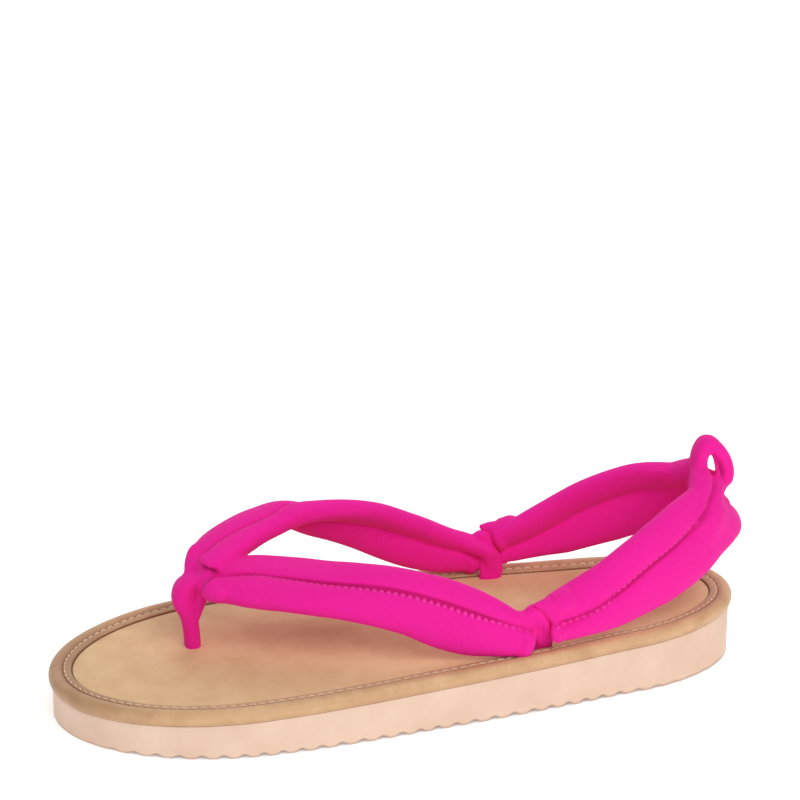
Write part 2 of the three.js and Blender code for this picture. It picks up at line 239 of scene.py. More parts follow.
def plan_ring(count):
    """Places on the sole's edge, going round, and the ways that point inwards there."""
    def edge(turn):
        along = -SOLE_LENGTH / 2 * np.cos(turn)
        return np.stack([np.sign(np.sin(turn)) * half_width(along), along], 1)
    step = 2 * PI / count
    turn = (np.arange(count) + 0.5) * step
    way = unit(edge(turn + step / 10) - edge(turn - step / 10))
    return edge(turn), np.stack([-way[:, 1], way[:, 0]], 1)


# ---- meshes
def new_mesh(name, points, faces):
    """A smooth mesh of points in metres."""
    mesh = bpy.data.meshes.new(name)
    mesh.from_pydata(np.asarray(points).tolist(), [], [list(face) for face in faces])
    mesh.polygons.foreach_set("use_smooth", [True] * len(mesh.polygons))
    return mesh


def add_object(name, data):
    """An object in the scene, of a mesh, a lamp or a camera."""
    made = bpy.data.objects.new(name, data)
    bpy.context.scene.collection.objects.link(made)
    return made


def new_object(name, points, faces, material, slot, normals=None, **shades):
    """A piece of points in mm. Each named shade is a number per point, for its material."""
    mesh = new_mesh(name, np.asarray(points) * MM, faces)
    mesh.validate()
    for name_of_shade, shade in shades.items():
        layer = mesh.attributes.new(name_of_shade, "FLOAT", "POINT")
        layer.data.foreach_set("value", np.asarray(shade, dtype=np.float32))
    if normals is not None:
        mesh.normals_split_custom_set_from_vertices(normals.tolist())
    mesh.materials.append(material)
    piece = add_object(name, mesh)
    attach(piece, "root")
    return piece


def grid_faces(rings, around, start=0, closed=False):
    """Faces between rings of points; closed joins the last ring to the first."""
    faces = []
    for r in range(rings if closed else rings - 1):
        a = start + r * around
        b = start + (r + 1) % rings * around
        for k in range(around):
            n = (k + 1) % around
            faces.append((a + k, a + n, b + n, b + k))
    return faces


def closed_tube(grid, start=0):
    """Points and faces of a tube of rings with a point at each end."""
    rings, around, _ = grid.shape
    points = np.vstack([grid.reshape(-1, 3), grid[0].mean(0), grid[-1].mean(0)])
    faces = grid_faces(rings, around, start)
    head = start + rings * around
    last = start + (rings - 1) * around
    for k in range(around):
        n = (k + 1) % around
        faces.append((head, start + n, start + k))
        faces.append((head + 1, last + k, last + n))
    return points, faces


def joined_tubes(grids):
    points, faces = [], []
    for grid in grids:
        p, f = closed_tube(grid, sum(map(len, points)))
        points.append(p)
        faces += f
    return np.vstack(points), faces


def take_result(source):
    """The places and faces that an object's modifiers give it; then the object is removed."""
    made = source.evaluated_get(bpy.context.evaluated_depsgraph_get()).to_mesh()
    places = np.empty(len(made.vertices) * 3)
    made.vertices.foreach_get("co", places)
    faces = [tuple(face.vertices) for face in made.polygons]
    mesh = source.data
    bpy.data.objects.remove(source)
    bpy.data.meshes.remove(mesh)
    return places.reshape(-1, 3), faces


def one_skin(grids):
    """The outer skin of tubes that run into each other, with faces of one size, a little relaxed."""
    points, faces = joined_tubes(grids)
    source = add_object("skin_source", new_mesh("skin_source", points * MM, faces))
    remesh = source.modifiers.new("skin", "REMESH")
    remesh.mode = "VOXEL"
    remesh.voxel_size = SKIN * MM
    places, faces = take_result(source)
    skin = Skin(places / MM, faces)
    skin.relax(2)
    return skin


class Skin:
    """Points and faces that are relaxed and pushed about, as a hand shapes soft cloth.

    Of its shades, fold is how much painted shade a crease puts into the colour, and the others tell
    the fabric where its seam runs: seam_at in stitches along it, seam_across in half widths of its
    valley.
    """

    def __init__(self, points, faces):
        self.points = points
        self.faces = faces
        self.shades = {name: np.zeros(len(points))
                       for name in ("fold", "seam_at", "seam_across", "valley", "beads")}
        self.quads = np.array([f if len(f) == 4 else (*f, f[-1]) for f in faces])
        first = self.quads.ravel()
        second = np.roll(self.quads, -1, axis=1).ravel()
        keep = first != second
        self.point = np.concatenate([first[keep], second[keep]])
        self.neighbour = np.concatenate([second[keep], first[keep]])
        self.count = np.maximum(np.bincount(self.point, minlength=len(points)), 1)

    def relax(self, times, strength=0.5):
        """Moves each point towards its neighbours' middle; strength may differ by point."""
        share = np.broadcast_to(strength, len(self.points))[:, None]
        for _ in range(times):
            middle = np.stack([
                np.bincount(self.point, self.points[self.neighbour, k], len(self.points))
                for k in range(3)], 1) / self.count[:, None]
            self.points = self.points + share * (middle - self.points)

    def normals(self):
        """The way out at each point, from the faces that it belongs to."""
        p = self.points[self.quads]
        flat = np.cross(p[:, 2] - p[:, 0], p[:, 3] - p[:, 1])
        out = np.zeros_like(self.points)
        for k in range(4):
            for axis in range(3):
                out[:, axis] += np.bincount(self.quads[:, k], flat[:, axis], len(out))
        return unit(out)

    def push(self, amount):
        """Moves each point out along its normal by its own amount."""
        self.points = self.points + self.normals() * np.asarray(amount)[:, None]

    def press(self, route, depth, width, shade=0.0):
        """A soft trough along a route of places, or a ridge where depth is below zero."""
        nearest = [((self.points - place) ** 2).sum(1).argmin() for place in route]
        off = self.points[nearest] - route
        off[1:-1] = (off[:-2] + 2 * off[1:-1] + off[2:]) / 4
        route = route + off
        far, along = near_route(self.points, route)
        taper = 0.18            # share of the route over which each end fades
        at_tip = 0.25           # share of the depth that is left there
        ends = np.clip(along / taper, 0, 1) * np.clip((1 - along) / taper, 0, 1)
        shape = np.exp(-(far / width) ** 2) * (at_tip + (1 - at_tip) * ends)
        self.push(-depth * shape)
        # painted shade along the trough, as strong as its shade
        self.shades["fold"] = np.maximum(self.shades["fold"], shade * shape)

    def faces_where(self, mine):
        """For each face, whether most of its points are mine."""
        return mine[self.quads].mean(1) > 0.5


def near_route(points, route):
    """For each point: how far it is from a route of straight steps, and how far along, 0 to 1."""
    far = np.full(len(points), 1e9)
    along = np.zeros(len(points))
    steps = np.linalg.norm(np.diff(route, axis=0), axis=1)
    start = np.concatenate([[0], np.cumsum(steps)])
    for k, step in enumerate(steps):
        way = (route[k + 1] - route[k]) / step
        t = np.clip((points - route[k]) @ way, 0, step)
        d = np.linalg.norm(points - route[k] - t[:, None] * way, axis=1)
        closer = d < far
        far[closer] = d[closer]
        along[closer] = ((start[k] + t) / start[-1])[closer]
    return far, along


# ---- straps: rolls on the last
def seam_places(rows):
    """Places on the last that rows of a seam give in % of the shoe's sizes."""
    along = values(rows, "along") / 100 * SOLE_LENGTH
    side = values(rows, "side") / 100 * BALL_WIDTH / 2
    rise = values(rows, "rise") / 100 * INSTEP_RISE
    return np.stack([side, along, footbed(along) + rise], 1)


def square_to(normal, travel):
    """normal without its part along travel, at length 1."""
    return unit(normal - travel * (normal * travel).sum(1, keepdims=True))


def strap(rows, count, outwards):
    """The seam of a strap and its two rolls, as stations at equal steps."""
    places = seam_places(rows)
    t, length = even_positions(places, count)
    place = curve_at(places, t)
    travel = unit(np.gradient(place, axis=0))
    level = unit(np.stack([travel[:, 1], -travel[:, 0], 0 * t], 1)) * outwards

    def facing(lean):
        lean = np.radians(lean)[:, None]
        return square_to(level * np.cos(lean) + UP * np.sin(lean), travel)
    lean, fold = column(rows, "lean", t), column(rows, "fold", t)
    normal = facing(lean)
    made = {"seam": {
        "place": place, "normal": normal, "across": np.cross(travel, normal) * outwards,
        "at": np.linspace(0, length, count),
    }}
    for name, way in (("inner", -1), ("outer", 1)):
        normal = facing(lean - way * fold)
        across = np.cross(travel, normal) * outwards
        half = column(rows, name, t)
        centre = place + across * (way * (half - SEAM_OVERLAP))[:, None]
        made[name] = {"place": centre, "normal": normal, "half": half,
                      "thick": np.full(count, ROLL_THICKNESS)}
    return made


def band(rows, side, forward):
    """Stations of a band that runs in an upright plane along the foot."""
    along = values(rows, "along")
    height = footbed(along) + values(rows, "rise")
    places = np.stack([np.full(len(rows), side), along, height], 1)
    t, _ = even_positions(places, 24)
    facing = np.radians(column(rows, "facing", t))
    return {
        "place": curve_at(places, t),
        "normal": np.stack([0 * t, forward * np.cos(facing), np.sin(facing)], 1),
        "half": column(rows, "half", t), "thick": column(rows, "thick", t),
    }


def ended_by_keeper(arm, side):
    """An arm's stations and, in place of their last, those of the strap's end.

    It turns down behind the arm and enters the sole beside the footbed.
    """
    rows = table(
        "along rise in half thick",
        (KEEPER_ALONG - 2.8, 11.2, -0.4, 3.4, 4.4),
        (KEEPER_ALONG - 1.3, 8.4, -1.0, 4.3, 4.4),
        (KEEPER_ALONG - 0.7, 4.5, -0.8, 4.6, 3.8),
        (KEEPER_ALONG - 1.3, 1.0, 0, 5.1, 2.8),
        (KEEPER_ALONG, SEAT - INSOLE_THICKNESS, 0, 3.0, 2.4),
    )
    out = math.copysign(1, side)
    along = values(rows, "along")
    height = footbed(along) + values(rows, "rise")
    end = {
        "place": np.stack([side - out * values(rows, "in"), along, height], 1),
        "normal": [[out, 0, 0]] * len(rows),
        "half": values(rows, "half"),
        "thick": values(rows, "thick"),
    }
    return {name: np.concatenate([arm[name][:-1], made]) for name, made in end.items()}


CAP_ANGLES = np.radians((82, 66, 50, 34, 18))      # the rings that round the end of a roll


def roll(stations, step, sides, round_start, round_end, squareness=2.25):
    """Rings of a padded roll through its stations; its ends are rounded over the lengths."""
    places = stations["place"]
    length = np.linalg.norm(np.diff(places, axis=0), axis=1).sum()
    count = max(int(length / step), 8)
    t, _ = even_positions(places, count)
    place = curve_at(places, t)
    travel = unit(np.gradient(place, axis=0))
    normal = square_to(smooth_at(stations["normal"], t), travel)
    across = np.cross(travel, normal)
    half = smooth_at(stations["half"], t)
    thick = smooth_at(stations["thick"], t)
    turn = (np.arange(sides) + 0.5) / sides * 2 * PI
    power = 2 / squareness
    wide = np.sign(np.cos(turn)) * np.abs(np.cos(turn)) ** power
    high = np.sign(np.sin(turn)) * np.abs(np.sin(turn)) ** power

    def ring(k, scale=1.0, shift=0.0):
        return (place[k] + travel[k] * shift
                + across[k] * (wide * half[k] * scale)[:, None]
                + normal[k] * (high * thick[k] * scale)[:, None])
    caps = [(math.cos(a), math.sin(a)) for a in CAP_ANGLES]
    start = [ring(0, c, -s * round_start) for c, s in caps]
    end = [ring(-1, c, s * round_end) for c, s in reversed(caps)]
    return np.array(start + [ring(k) for k in range(count)] + end)


# ---- materials
def srgb(red, green, blue):
    """A colour given as it looks on a screen, 0 to 255, as the linear values shaders take."""
    linear = [((c / 255 + 0.055) / 1.055) ** 2.4 if c > 10 else c / 3294 for c in (red, green, blue)]
    return (*linear, 1.0)


class Shader:
    """A node material with a Principled BSDF, built in a few short lines."""

    def __init__(self, name, **sockets):
        self.material = bpy.data.materials.new(name)
        self.material.use_nodes = True
        self.tree = self.material.node_tree
        self.bsdf = self.tree.nodes["Principled BSDF"]
        for socket, value in sockets.items():
            self.bsdf.inputs[socket.replace("_", " ")].default_value = value
        self.place = self.tree.nodes.new("ShaderNodeTexCoord").outputs["Object"]

    def node(self, kind, links=(), **values):
        """A node with its settings; each of its sockets has a value or another node's output."""
        node = self.tree.nodes.new("ShaderNode" + kind)
        for key, value in values.items():
            setattr(node, key, value)
        for socket, value in dict(links).items():
            if isinstance(value, bpy.types.NodeSocket):
                self.tree.links.new(value, node.inputs[socket])
            else:
                node.inputs[socket].default_value = value
        return node

    def stretched(self, *scale):
        return self.node("Mapping", {"Vector": self.place, "Scale": scale}).outputs[0]

    def noise(self, size, detail=3.0, where=None, roughness=0.5):
        """Soft noise with lumps of about this size in mm."""
        links = {"Vector": where or self.place, "Scale": 1 / (size * MM), "Detail": detail,
                 "Roughness": roughness}
        return self.node("TexNoise", links).outputs["Fac"]

    def cells(self, size):
        """Distance to the middle of cells of about this size in mm."""
        links = {"Vector": self.place, "Scale": 1 / (size * MM)}
        return self.node("TexVoronoi", links).outputs["Distance"]

    def shade(self, name):
        return self.node("Attribute", attribute_name=name).outputs["Fac"]

    def band(self, value, low, high, to_low=0.0, to_high=1.0):
        links = {"Value": value, "From Min": low, "From Max": high, "To Min": to_low,
                 "To Max": to_high}
        return self.node("MapRange", links).outputs[0]

    def mix(self, amount, first, second):
        colours = {0: amount, 6: first, 7: second}
        return self.node("Mix", colours, data_type="RGBA").outputs[2]

    def math(self, operation, first, second=0.0):
        return self.node("Math", {0: first, 1: second}, operation=operation).outputs[0]

    def times(self, first, *others):
        for other in others:
            first = self.math("MULTIPLY", first, other)
        return first

    def bump(self, height, strength, depth, below=None):
        links = {"Height": height, "Strength": strength, "Distance": depth * MM}
        if below is not None:
            links["Normal"] = below
        return self.node("Bump", links).outputs[0]

    def finish(self, colour, normal):
        self.tree.links.new(colour, self.bsdf.inputs["Base Color"])
        self.tree.links.new(normal, self.bsdf.inputs["Normal"])
        return self.material


def strap_fabric():
    """Brushed pink knit: fine nap, faint lumps of the padding, painted shade in folds and seams.

    Beside the seam's valley, darkened with painted shade, each stitch draws the cloth into a
    half-round bead whose crest has a painted highlight.
    """
    s = Shader("strap_fabric", Roughness=0.86, Sheen_Weight=0.05, Sheen_Roughness=0.5,
               Specular_IOR_Level=0.2)
    nap = s.noise(0.55, detail=4, roughness=0.65)
    loops = s.cells(0.42)
    lumps = s.noise(14, detail=2)
    colour = s.mix(s.band(nap, 0.3, 0.7), srgb(234, 20, 148), srgb(246, 33, 162))
    colour = s.mix(s.band(lumps, 0.35, 0.7, 0, 0.3), colour, srgb(236, 30, 148))
    # a half-round lobe in the middle of each stitch, as high as the beads are there
    across = s.shade("seam_across")
    phase = s.math("FRACT", s.shade("seam_at"))
    from_middle = s.math("DIVIDE", s.math("SUBTRACT", phase, 0.5), BEAD_HALF)
    squared = s.math("POWER", s.math("ABSOLUTE", from_middle), 2.0)
    lobe = s.math("SQRT", s.math("MAXIMUM", s.math("SUBTRACT", 1.0, squared), 0.0))
    lobe = s.times(lobe, s.shade("beads"))
    # the valley's painted shade bends round the lobe, and the lobe's crest gets a painted highlight
    bent = s.math("ADD", across, s.times(lobe, 1.2))
    dark = s.times(s.band(bent, 1.75, 1.3), s.band(across, -1.2, -0.4), s.shade("valley"))
    crest_highlight = s.times(s.band(bent, 1.6, 2.0), s.band(across, 1.9, 1.1), lobe)
    colour = s.mix(s.times(crest_highlight, 0.45), colour, srgb(255, 96, 196))
    colour = s.mix(s.times(dark, 0.75), colour, srgb(186, 0, 96))
    # painted shade in creases and folds, where the skin's fold shade is set
    colour = s.mix(s.shade("fold"), colour, srgb(176, 2, 92))
    normal = s.bump(loops, 0.35, 0.12)
    normal = s.bump(nap, 0.5, 0.16, normal)
    normal = s.bump(lumps, 0.25, 0.8, normal)
    normal = s.bump(crest_highlight, 0.6, 0.3, normal)
    return s.finish(colour, normal)


def eva_foam():
    """Light peach foam with fine pores, faint upright cutting marks and soft clouds."""
    s = Shader("eva_foam", Roughness=0.62, Specular_IOR_Level=0.35)
    clouds = s.noise(18, detail=3)
    marks = s.noise(0.9, detail=2, where=s.stretched(1, 1, 0.06))
    pores = s.cells(0.8)
    grain = s.noise(0.5, detail=3)
    colour = s.mix(s.band(clouds, 0.3, 0.7), srgb(226, 193, 170), srgb(235, 205, 184))
    colour = s.mix(s.band(marks, 0.62, 0.8, 0, 0.22), colour, srgb(214, 174, 150))
    colour = s.mix(s.band(pores, 0.05, 0.16, 0.35, 0), colour, srgb(196, 150, 126))
    # painted shade along the lower edge, deepest in the notches
    colour = s.mix(s.shade("fold"), colour, srgb(104, 80, 70))
    normal = s.bump(grain, 0.3, 0.1)
    normal = s.bump(s.band(pores, 0.0, 0.2), 0.25, 0.12, normal)
    return s.finish(colour, normal)


def suede(name, light, dark, fold, roughness):
    """Leather-like cover: clouded nap, darker where its fold shade is set, on the binding partly
    painted shade.
    """
    s = Shader(name, Roughness=roughness, Sheen_Weight=0.12, Sheen_Roughness=0.5,
               Specular_IOR_Level=0.4)
    clouds = s.noise(9, detail=4, roughness=0.6)
    nap = s.noise(0.7, detail=4, roughness=0.7)
    colour = s.mix(s.band(clouds, 0.32, 0.68), dark, light)
    colour = s.mix(s.band(nap, 0.35, 0.75, 0.22, 0), colour, dark)
    # darker by the fold shade; on the binding this is partly painted shade
    colour = s.mix(s.shade("fold"), colour, fold)
    normal = s.bump(nap, 0.45, 0.14)
    normal = s.bump(clouds, 0.2, 0.5, normal)
    return s.finish(colour, normal)


def binding_thread():
    """Sewing thread with a faint twist."""
    s = Shader("binding_thread", Roughness=0.6)
    twist = s.noise(0.35, detail=2)
    colour = s.mix(s.band(twist, 0.3, 0.7), srgb(218, 178, 144), srgb(242, 212, 182))
    return s.finish(colour, s.bump(twist, 0.4, 0.1))


FABRIC = strap_fabric()
FOAM = eva_foam()
BINDING = suede("binding_suede", srgb(222, 180, 136), srgb(200, 156, 112), srgb(128, 84, 54), 0.5)
FOOTBED = suede("footbed_suede", srgb(229, 192, 146), srgb(217, 176, 128), srgb(92, 58, 38), 0.72)
THREAD = binding_thread()


# ---- straps: cloth
SIM_SCALE = 0.1            # cloth is blown up at a size its solver suits: 1 mm as 0.1
CLOTH_PRESSURE = 4.0
CLOTH_SLACK = -0.01
CLOTH_FRAMES = 14
MOST_SWELL = 0.8           # mm that cloth may move
HELD_RINGS = 8             # rings that stay where they are at each end of a roll
STITCH_RINGS = 4           # rings from one stitch to the next
ROLL_STEP = STITCH_PITCH / STITCH_RINGS


def blown_up(points, faces, held):
    """Where the points of a closed cloth go under pressure, while the held ones stay."""
    blown = add_object("blown", new_mesh("blown", points, faces))
    group = blown.vertex_groups.new(name="held")
    group.add(held, 1.0, "REPLACE")
    cloth = blown.modifiers.new("cloth", "CLOTH")
    settings = cloth.settings
    settings.quality = 6
    settings.mass = 0.3
    settings.air_damping = 2
    settings.bending_stiffness = 1
    settings.vertex_group_mass = group.name
    settings.use_pressure = True
    settings.uniform_pressure_force = CLOTH_PRESSURE
    settings.shrink_min = CLOTH_SLACK
    settings.effector_weights.gravity = 0
    cloth.collision_settings.use_collision = False
    cloth.point_cache.frame_end = CLOTH_FRAMES
    for number in range(1, CLOTH_FRAMES + 1):
        bpy.context.scene.frame_set(number)
    places, _ = take_result(blown)
    bpy.context.scene.frame_set(1)
    return places


def plumped(grid, seam):
    """A roll blown up as stitched cloth: its two ends and its stitches stay where they are."""
    rings, around, _ = grid.shape
    points, faces = closed_tube(grid)
    ends = HELD_RINGS * around
    held = list(range(ends)) + list(range(rings * around - ends, len(points)))
    far = [np.linalg.norm(grid[::8, k, None] - seam["place"], axis=2).min(1).mean()
           for k in range(around)]
    side = int(np.argmin(far))
    held += [ring * around + (side + beside) % around
             for ring in range(0, rings, STITCH_RINGS) for beside in (-1, 0, 1)]
    places = blown_up(points * SIM_SCALE, faces, held)
    move = places[:-2].reshape(grid.shape) / SIM_SCALE - grid
    size = np.linalg.norm(move, axis=2, keepdims=True)
    return grid + move * np.minimum(1, MOST_SWELL / np.maximum(size, 1e-9))


def near_seam(points, seam):
    """For each point: how far along the seam it lies, and how far across, out and away from it."""
    station = np.zeros(len(points), int)
    best = np.full(len(points), 1e9)
    for k, place in enumerate(seam["place"]):
        d = ((points - place) ** 2).sum(1)
        closer = d < best
        station[closer] = k
        best[closer] = d[closer]
    off = points - seam["place"][station]
    travel = unit(np.gradient(seam["place"], axis=0))[station]
    at = seam["at"][station] + (off * travel).sum(1)
    across = (off * seam["across"][station]).sum(1)
    out = (off * seam["normal"][station]).sum(1)
    return at, across, out, np.sqrt(best)


SEAM_REACH = 9.0           # how far from a seam its stitches draw the cloth, mm
BEAD_AT = 1.1              # from the seam to its row of beads, mm
BEAD_SPREAD = 0.6
BEAD_SINK = 0.4            # how far the cloth is drawn in between beads, as a share of their height
FULL_BEAD = 0.4            # the height of a bead at which its lobe, with its painted highlight, is full, mm
FULL_VALLEY = 0.5          # the depth of the valley at which its painted shade is full, mm


def sew(skin, seam, rows):
    """Deepens the valley of a seam and draws its border into beads, one for each stitch.

    rows says, for shares of the seam's length: side, +1 where the beads lie below the valley and
    -1 above; height of the beads; depth and half width of the valley, mm.
    """
    at, across, out, far = near_seam(skin.points, seam)
    share = at / seam["at"][-1]

    def row(name):
        return np.interp(share, values(rows, "at"), values(rows, name))
    mine = (out > 0) & (far < SEAM_REACH) & (share > 0) & (share < 1)
    side, height, depth, wide = row("side"), row("height"), row("depth"), row("wide")
    across = across * np.where(side > 0, 1, -1)
    phase = at / STITCH_PITCH % 1
    lobe = np.sqrt(np.clip(1 - ((phase - 0.5) / BEAD_HALF) ** 2, 0, 1))
    border = np.exp(-((across - BEAD_AT) / BEAD_SPREAD) ** 2) * mine
    trough = np.exp(-(across / wide) ** 2) * mine
    skin.push(border * height * (lobe - BEAD_SINK) - trough * depth)
    # valley sets how much painted shade the valley gets; beads sets each bead's lobe, which bends that
    # shade and carries a painted highlight
    shades = {
        "seam_at": at / STITCH_PITCH,
        "seam_across": across / wide,
        "valley": np.clip(depth / FULL_VALLEY, 0, 1),
        "beads": np.clip(height / FULL_BEAD, 0, 1),
    }
    for name, shade in shades.items():
        skin.shades[name] = np.where(mine, shade, skin.shades[name])


def wander(points, size, seed):
    """Slow, even lumps of about this size in mm, from -1 to 1, the same each run."""
    rng = np.random.default_rng(seed)
    waves = 6
    total = np.zeros(len(points))
    for _ in range(waves):
        way = unit(rng.normal(size=3)) * 2 * PI / (size * rng.uniform(0.7, 1.4))
        total += np.sin(points @ way + rng.uniform(0, 2 * PI))
    return total / waves


def on_last(rows):
    """Places given as side, along and rise above the footbed, in mm."""
    return np.array([[side, along, footbed(along) + rise] for side, along, rise in rows])


def within(points, middle, radius):
    """1 round a place given as side, along and rise, falling to 0 at the radius."""
    far = np.linalg.norm(points - on_last([middle])[0], axis=1)
    steepness = 1.6
    return np.clip(steepness * (1 - far / radius), 0, 1)


def mirrored(rows):
    """The same places on the other side of the foot."""
    return [(-row[0], *row[1:]) for row in rows]


def across_foot(rows):
    """Places from one side to the middle, and from there on to the other side."""
    return rows + [row for row in mirrored(rows)[::-1] if row[0] < 0]


def tube(rows):
    """A round roll through places given as side, along and rise, each with its radius, mm."""
    places = on_last([row[:3] for row in rows])
    travel = unit(np.gradient(places, axis=0))
    helper = np.where(np.abs(travel[:, 2:]) < 0.8, UP, np.array([1.0, 0, 0]))
    size = np.array([row[3] for row in rows], float)
    return roll({"place": places, "normal": square_to(helper, travel), "half": size, "thick": size},
                0.6, 28, size[0] * 0.9, size[-1] * 0.9, squareness=2)


def new_piece(name, node, skin, mine):
    """A piece made of those of the skin's faces that are mine, shaded as one with the rest."""
    faces = [f for f, kept in zip(skin.faces, mine) if kept]
    used = np.unique(np.concatenate([np.array(f) for f in faces]))
    place = np.zeros(len(skin.points), int)
    place[used] = np.arange(len(used))
    faces = [tuple(place[list(f)]) for f in faces]
    shades = {shade: at_points[used] for shade, at_points in skin.shades.items()}
    piece = new_object(name, skin.points[used], faces, FABRIC, "strap_fabric",
                       normals=skin.normals()[used], **shades)
    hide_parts(node)


# How the seams are drawn in; the columns are those of sew().
OUTER_ARM_SEWN = table(
    "at side height depth wide",
    (0.0, 1, 0.0, 0.1, 0.7),
    (0.08, 1, 0.3, 0.3, 0.7),
    (0.25, 1, 0.5, 0.5, 0.8),
    (0.82, 1, 0.5, 0.7, 0.9),
    (0.9, 1, 0.4, 0.35, 0.6),
    (0.98, 1, 0.3, 0.15, 0.6),
)
INNER_ARM_SEWN = table(
    "at side height depth wide",
    (0.0, -1, 0.1, 0.1, 0.7),
    (0.06, -1, 0.25, 0.3, 0.7),
    (0.25, -1, 0.12, 0.4, 0.7),
    (0.4, 1, 0.4, 0.5, 0.8),
    (0.82, 1, 0.5, 0.7, 0.9),
    (0.9, 1, 0.4, 0.35, 0.6),
    (0.98, 1, 0.3, 0.15, 0.6),
)
HEEL_SEWN_HALF = table(
    "at side height depth wide",
    (0.0, 1, 0.4, 0.15, 0.6),
    (0.03, 1, 0.5, 0.3, 0.6),
    (0.12, 1, 0.45, 0.35, 0.6),
    (0.135, -1, 0.4, 0.45, 0.75),
    (0.31, -1, 0.4, 0.55, 0.8),
    (0.36, -1, 0.0, 0.2, 1.5),
    (0.4, -1, 0.0, 0.0, 1.3),
    (0.43, -1, 0.0, 0.1, 1.2),
    (0.5, -1, 0.0, 0.1, 1.2),
)
HEEL_SEWN = HEEL_SEWN_HALF + [{**row, "at": 1 - row["at"]} for row in HEEL_SEWN_HALF[-2::-1]]

PADDING_LUMPS = 0.22       # height of the slow lumps of the padding, mm

# Folds and fills, listed one by one. Places are side, along and rise above the footbed, mm. The
# tubes that fill where rolls run into each other have their radius beside each place. A fold
# with a depth below zero is a ridge, and its shade is how much painted shade it lays along its route.
APEX = (-5.0, -67.5, 32.0)
INNER_END = (-15.0, -72.5, 29.5)
INNER_FILL = [(-18.6, -67.4, 34.4, 2.0), (-17.3, -70.2, 32.6, 2.7), (-16.2, -71.3, 30.6, 2.8),
              (-15.0, -72.0, 28.3, 2.8), (-13.4, -72.4, 26.9, 2.7), (-11.8, -73.2, 25.6, 2.4)]
OUTER_FILL = [(3.6, -64.8, 24.6, 3.0), (1.2, -67.8, 24.6, 3.0), (-0.2, -68.8, 24.4, 2.6)]
TUCK = [(33.6, 35.6, 13.0, 2.0), (33.4, 38.4, 14.8, 2.4), (33.2, 40.9, 15.8, 2.8),
        (32.8, 43.3, 12.4, 3.2), (32.4, 44.8, 8.0, 3.0)]
APEX_FOLDS = table(
    "depth width shade route",
    (1.8, 1.1, 1.0, [(-8.4, -70.4, 32.0), (-6.8, -68.9, 31.7), (-5.2, -67.9, 31.5),
                     (-4.3, -66.2, 30.6), (-3.0, -64.0, 29.8)]),
    (-0.4, 1.0, 0.0, [(-4.6, -68.2, 33.8), (-3.4, -66.4, 33.0), (-2.6, -64.4, 31.6)]),
    (-0.4, 1.0, 0.0, [(-7.2, -71.0, 30.6), (-5.2, -69.2, 29.8), (-4.0, -67.6, 28.8)]),
    (0.7, 0.6, 1.0, [(-2.2, -65.2, 29.2), (-1.8, -67.0, 29.0), (-0.8, -68.6, 28.2),
                     (-0.4, -69.8, 26.6), (-1.4, -70.6, 24.4), (-3.0, -70.8, 22.4)]),
    (0.4, 0.9, 0.35, [(-5.3, -71.9, 25.4), (-5.6, -72.0, 23.6), (-5.9, -72.2, 21.6),
                      (-6.2, -72.6, 19.0)]),
)
KEEPER_FOLDS = table(
    "depth width shade route",
    (0.5, 0.7, 0.35, [(36.0, 43.2, 12.0), (35.6, 43.7, 7.5), (34.6, 44.0, 2.0)]),
    (0.45, 0.7, 0.3, [(36.6, 45.6, 9.0), (35.8, 45.6, 5.0), (34.6, 45.6, 1.0)]),
)


def press_folds(skin, folds, routes_of=lambda route: [route]):
    """Presses each fold along its route, or along each of the routes made from it."""
    for fold in folds:
        for route in routes_of(fold["route"]):
            skin.press(on_last(route), fold["depth"], fold["width"], fold["shade"])


def on_post(points):
    """Which points are the toe post's: those below and in front of the ends of the arms."""
    side, along = points[:, 0], points[:, 1]
    rise = points[:, 2] - footbed(along)
    front = -70.5 + np.clip(rise - 22, 0, 9) * 0.3
    beside = np.abs(side + 8.5) < 7
    return (along < front) & beside & (rise < 27.5)


def make_front_straps():
    """The two arms, their keepers and the toe post: one skin, cut into its two pieces."""
    grids = []
    seams = []
    for rows, out in ((OUTER_ARM, 1), (INNER_ARM, -1)):
        arm = strap(rows, 120, out)
        coarse = {name: stations[::4] for name, stations in arm["inner"].items()}
        through = ended_by_keeper(coarse, out * KEEPER_SIDE)
        grids.append(plumped(roll(through, ROLL_STEP, 40, 1.5, 0.2), arm["seam"]))
        grids.append(plumped(roll(arm["outer"], ROLL_STEP, 40, 3.0, 3.0), arm["seam"]))
        seams.append(arm["seam"])
    grids.append(roll(band(POST_BAND, POST_SIDE, -1), 0.5, 36, 0.5, 2.0, squareness=2.6))
    grids.append(roll(band(POST_FOLD, POST_SIDE + 1.6, -1), 0.5, 36, 1.0, 1.5))
    grids += [tube(INNER_FILL), tube(OUTER_FILL), tube(TUCK), tube(mirrored(TUCK))]
    skin = one_skin(grids)
    for middle, radius in ((APEX, 10), (INNER_END, 8)):
        skin.relax(14, 0.6 * within(skin.points, middle, radius))
    skin.push(PADDING_LUMPS * wander(skin.points, 20, seed=4))
    for seam, rows in zip(seams, (OUTER_ARM_SEWN, INNER_ARM_SEWN)):
        sew(skin, seam, rows)
    press_folds(skin, APEX_FOLDS + KEEPER_FOLDS)
    post = skin.faces_where(on_post(skin.points))
    new_piece("front_strap_cloth", "front_strap", skin, ~post)
    new_piece("toe_post_cloth", "toe_post", skin, post)


